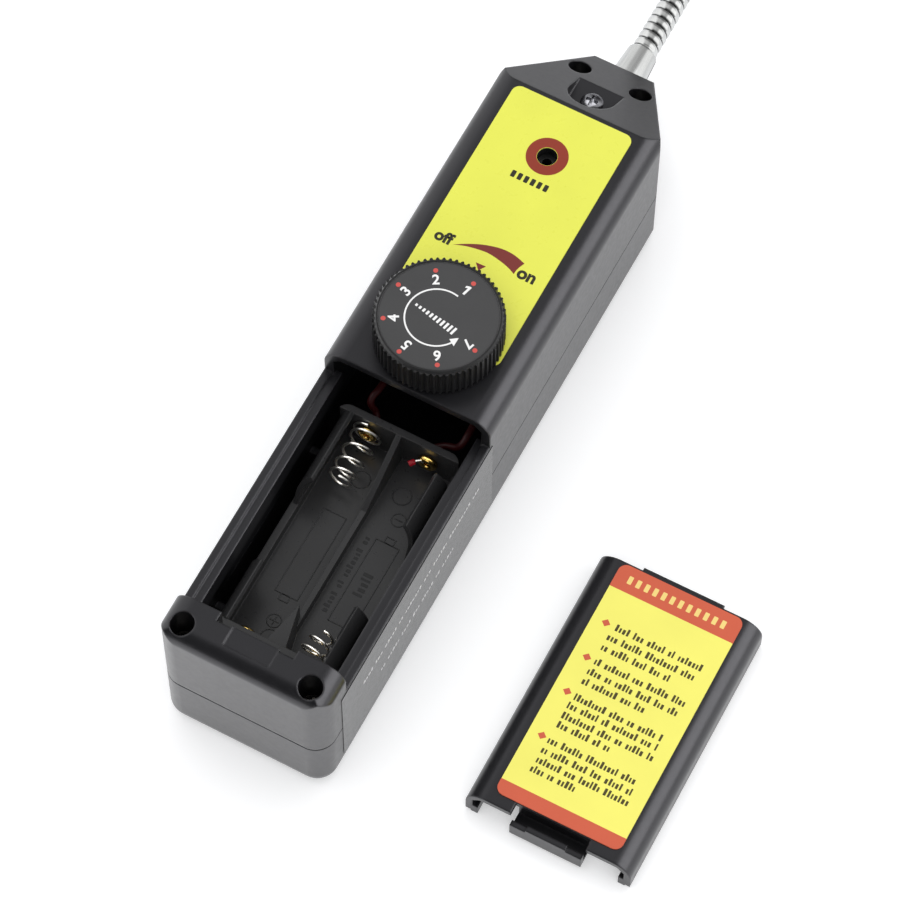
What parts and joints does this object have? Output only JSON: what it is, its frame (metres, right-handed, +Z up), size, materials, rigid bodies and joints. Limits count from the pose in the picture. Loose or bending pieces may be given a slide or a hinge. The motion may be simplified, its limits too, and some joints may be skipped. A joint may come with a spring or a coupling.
{
  "type": "refrigerant leak detector",
  "caption": "Handheld refrigerant leak detector: black case with yellow face label, ribbed sensitivity knob, open cell compartment, loose cover beside it and a gooseneck probe",
  "frame": {"origin": "centre of the case's flat base, on the table", "axes": "+X to the right of the case, towards the loose cover; +Y along the case towards the probe tip; +Z up"},
  "size_m": [0.0991, 0.4177, 0.0494],
  "materials": {
    "shell_black": "moulded ABS, satin",
    "label_yellow": "printed film, glossy",
    "clear_film": "thin film over the black wall",
    "knob_black": "moulded, satin",
    "shaft_metal": "turned",
    "plated_steel": "zinc plated",
    "board_green": "solder mask",
    "ferrite_grey": "ferrite and tape",
    "capacitor_blue": "sleeved",
    "tray_black": "moulded, satin",
    "spring_steel": "nickel plated",
    "contact_brass": "stamped",
    "lead_red": "wire insulation",
    "neck_chrome": "plated",
    "ceramic_white": "insulator"
  },
  "bodies": {
    "case": {"lower_shell": "shell_black", "upper_shell": "shell_black", "battery_cover": "shell_black", "cover_label": "label_yellow", "face_label": "label_yellow", "side_label": "clear_film", "potentiometer": "plated_steel", "buzzer": "knob_black", "circuit_board": "board_green", "transformer": "ferrite_grey", "driver_chip": "knob_black", "capacitors": "capacitor_blue", "board_screws": "plated_steel", "battery_tray": "tray_black", "spring_left": "spring_steel", "spring_right": "spring_steel", "contact_rivets": "contact_brass", "series_strip": "contact_brass", "lead_left": "lead_red", "lead_right": "lead_red", "case_screws": "plated_steel", "clamp_screw": "plated_steel", "neck_collar": "neck_chrome"},
    "knob": {"sensitivity_knob": "knob_black", "potentiometer_shaft": "shaft_metal"},
    "probe": {"gooseneck": "neck_chrome", "tip_ferrule": "neck_chrome", "sensor_base": "ceramic_white", "sensor_element": "plated_steel", "sensor_guard": "neck_chrome"}
  },
  "joints": [
    {"name": "knob_turn", "type": "hinge", "parent": "case", "child": "knob", "pos_m": [0, -0.0001, 0.041], "axis": [0, 0, 1], "range_deg": [-255, 45]},
    {"name": "gooseneck_bend", "type": "hinge", "parent": "case", "child": "probe", "pos_m": [0, 0.128, 0.016], "axis": [0, 0, 1], "range_deg": [-60, 60], "deforming": ["gooseneck"]}
  ]
}
